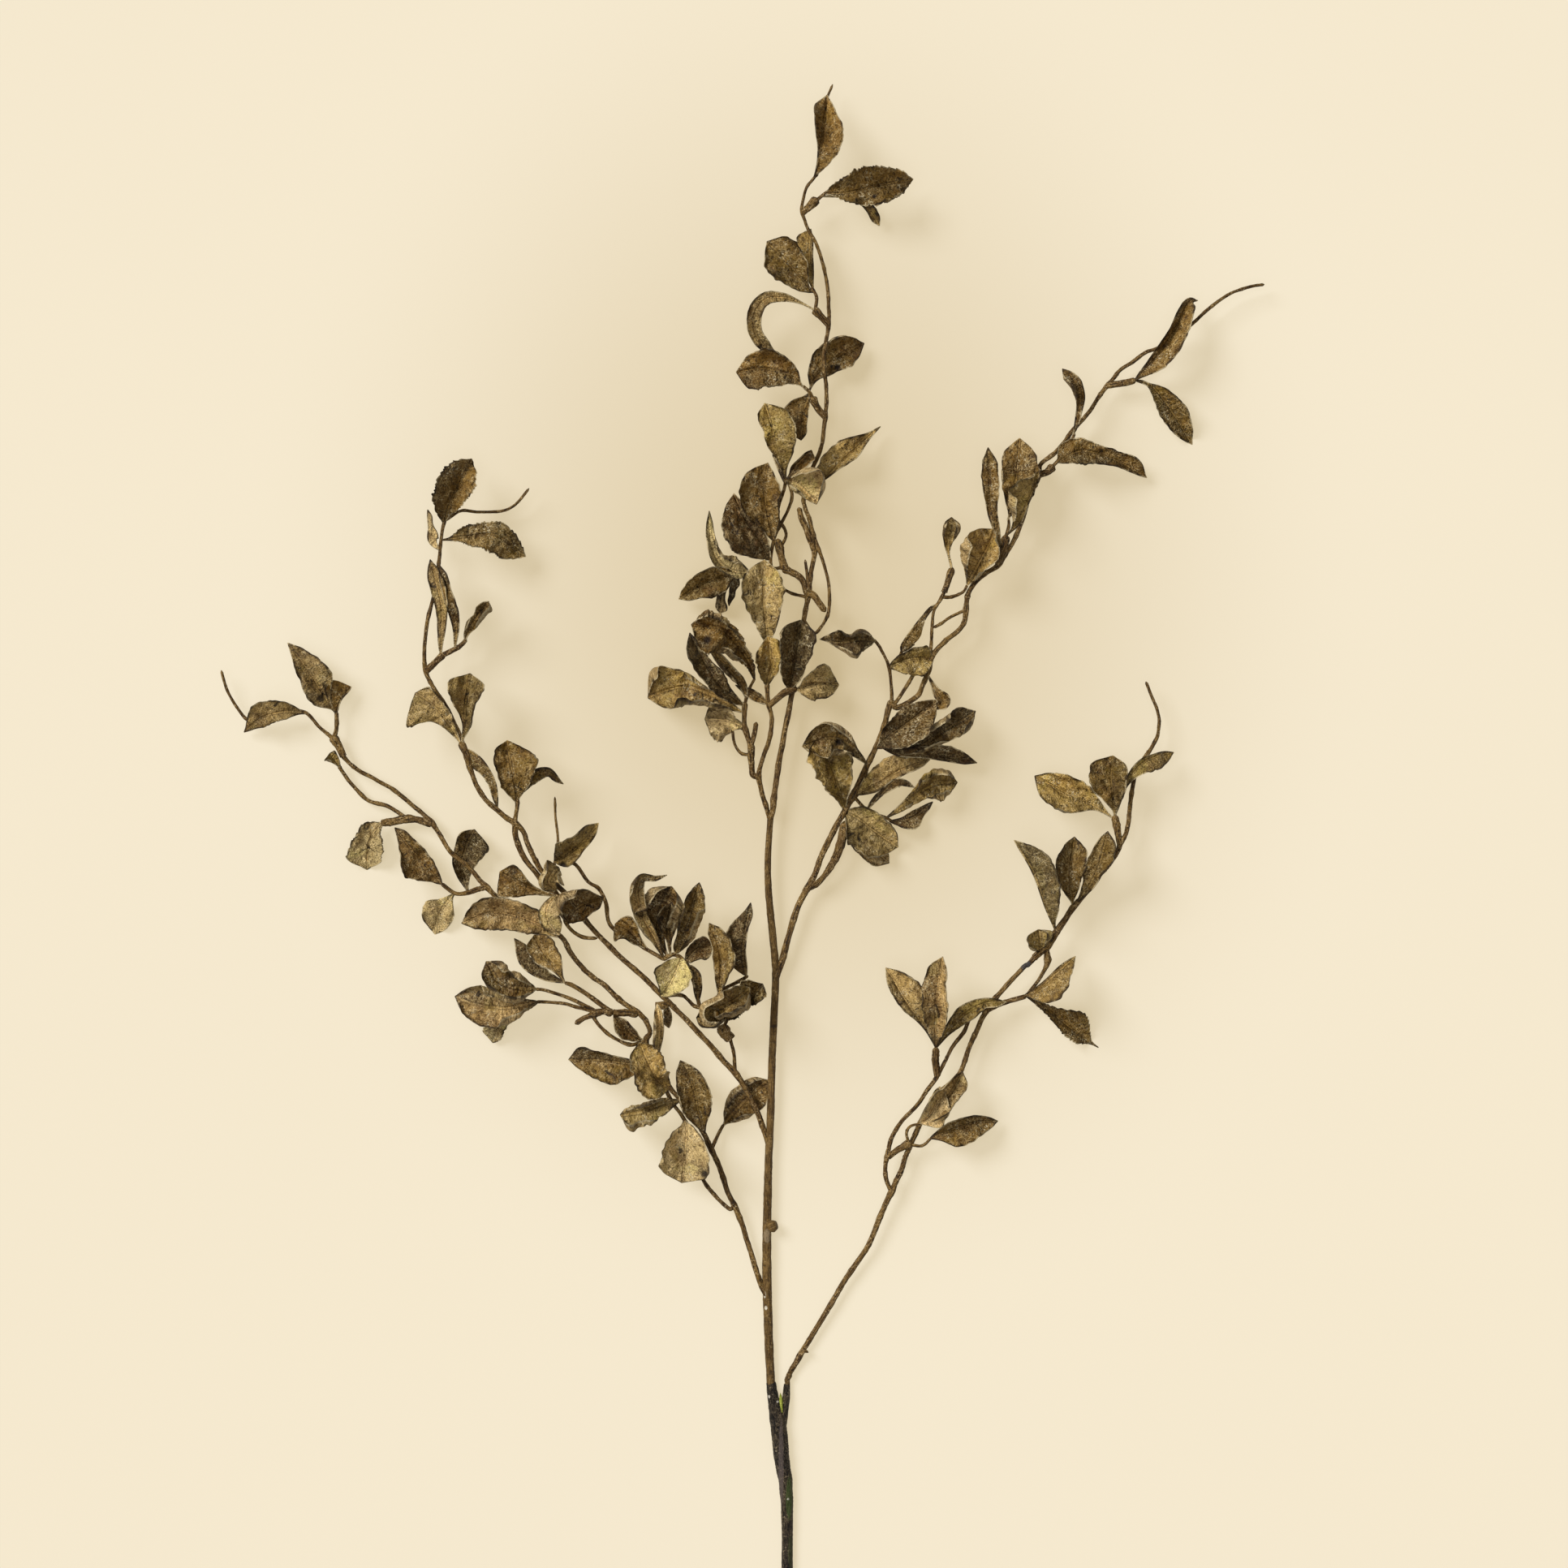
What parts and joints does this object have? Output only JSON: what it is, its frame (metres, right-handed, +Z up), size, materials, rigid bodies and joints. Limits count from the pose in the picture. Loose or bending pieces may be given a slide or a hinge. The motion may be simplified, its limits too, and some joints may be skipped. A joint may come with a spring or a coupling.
{
  "type": "smoked eucalyptus stem",
  "caption": "Long cut and dried eucalyptus stem with a dark lower stock, forking brown branches and curled olive-brown leaves, lying flat as table or vase decoration.",
  "frame": {"origin": "centre of the box round the whole stem, on the surface that it lies on", "axes": "+Y along the stem from its butt end to its top leaf, +Z up from the surface"},
  "size_m": [0.644, 1.0152, 0.0513],
  "materials": {
    "bark_dark": "satin dark bark",
    "bark_brown": "matt brown bark",
    "leaf_olive": "matt dried leaf with a pale net of veins"
  },
  "bodies": {
    "root": {"stock": "bark_dark", "main_stem": "bark_brown", "leader_spray": "leaf_olive", "left_fork_spray": "leaf_olive", "inner_right_spray": "leaf_olive", "outer_right_spray": "leaf_olive", "upper_left_spray": "leaf_olive", "lower_left_spray": "leaf_olive"}
  },
  "joints": []
}
